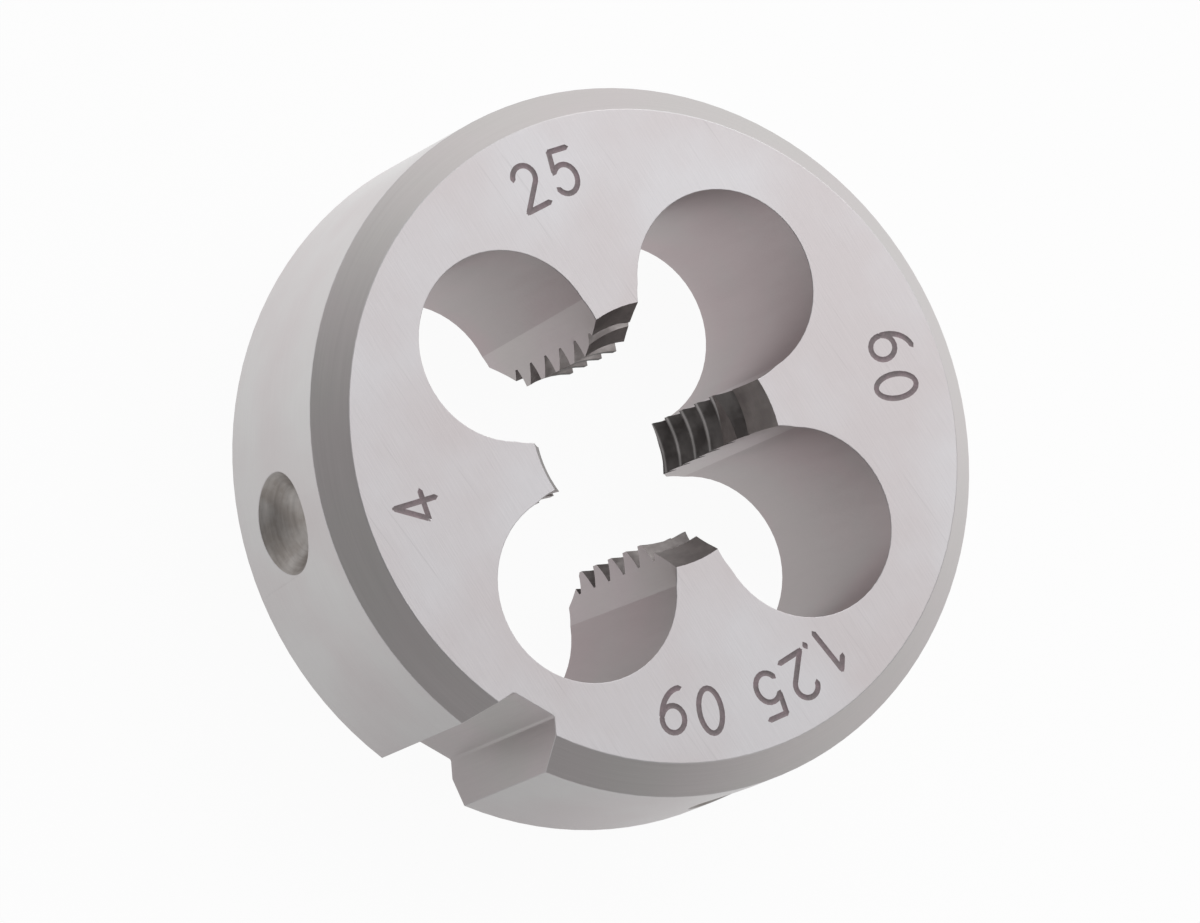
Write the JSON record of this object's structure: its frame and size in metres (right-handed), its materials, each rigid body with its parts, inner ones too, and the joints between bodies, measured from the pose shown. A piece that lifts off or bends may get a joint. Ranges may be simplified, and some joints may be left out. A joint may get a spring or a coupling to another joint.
{
  "type": "round threading die",
  "caption": "Closed round die for cutting an M8 coarse outside thread: a chamfered steel disc with a threaded bore opened by chip flutes, an adjusting groove and screw recesses in its rim",
  "frame": {"origin": "centre of the back face, on the thread's axis, where the die rests on a flat surface", "axes": "+Z is the thread's axis and points out of the front face; +X and +Y each pass through the middle of a land; the adjusting groove is at 225 degrees, counted from +X towards +Y"},
  "size_m": [0.025, 0.025, 0.009],
  "materials": {
    "tool_steel": "ground tool steel, satin on the faces and darker in the flutes and thread"
  },
  "bodies": {
    "root": {"round_die": "tool_steel"}
  },
  "joints": []
}
